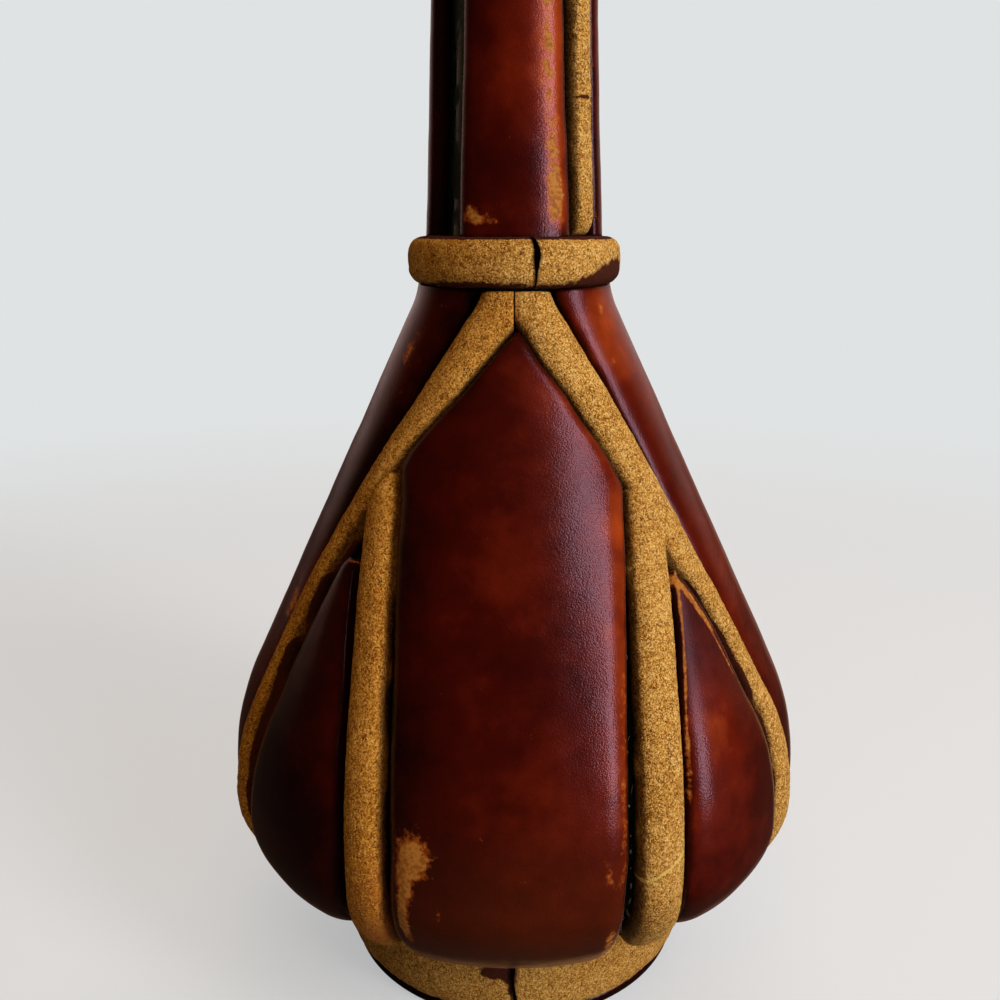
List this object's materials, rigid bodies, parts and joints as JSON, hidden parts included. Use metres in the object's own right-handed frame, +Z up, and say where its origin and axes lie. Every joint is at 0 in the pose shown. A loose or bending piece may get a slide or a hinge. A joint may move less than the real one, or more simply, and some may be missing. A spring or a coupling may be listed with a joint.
{
  "type": "decanter",
  "caption": "Long-necked glass decanter dressed in moulded leather panels framed by half-round cork beads, with a stopper that lifts out of the neck.",
  "frame": {"origin": "centre of the base disc's underside, on the surface that the decanter stands on", "axes": "+Z up along the bottle's axis, -Y towards the front panel, +X to the right seen from the front"},
  "size_m": [0.1302, 0.1302, 0.2957],
  "materials": {
    "glass": "smooth, dark green, nearly black",
    "leather": "polished, mottled red-brown, worn at the edges",
    "cork": "matt agglomerated cork",
    "wood": "turned and oiled"
  },
  "bodies": {
    "bottle": {"glass_bottle": "glass", "base_disc": "leather", "front_panel": "leather", "back_panel": "leather", "left_side_panel": "leather", "right_side_panel": "leather", "front_left_gusset": "leather", "front_right_gusset": "leather", "back_left_gusset": "leather", "back_right_gusset": "leather", "neck_front_panel": "leather", "neck_back_panel": "leather", "neck_left_panel": "leather", "neck_right_panel": "leather", "front_left_upright_bead": "cork", "front_right_upright_bead": "cork", "back_left_upright_bead": "cork", "back_right_upright_bead": "cork", "front_left_diagonal_bead": "cork", "front_right_diagonal_bead": "cork", "back_left_diagonal_bead": "cork", "back_right_diagonal_bead": "cork", "neck_front_right_bead": "cork", "neck_back_left_bead": "cork", "neck_back_right_bead": "cork", "collar_bead": "cork", "foot_bead": "cork", "mouth_bead": "cork"},
    "stopper": {"stopper_plug": "cork", "stopper_core": "wood", "stopper_bead": "cork", "stopper_cap": "leather"}
  },
  "joints": [
    {"name": "stopper_lift", "type": "slide", "parent": "bottle", "child": "stopper", "axis": [0, 0, 1], "range_m": [0, 0.06]}
  ]
}
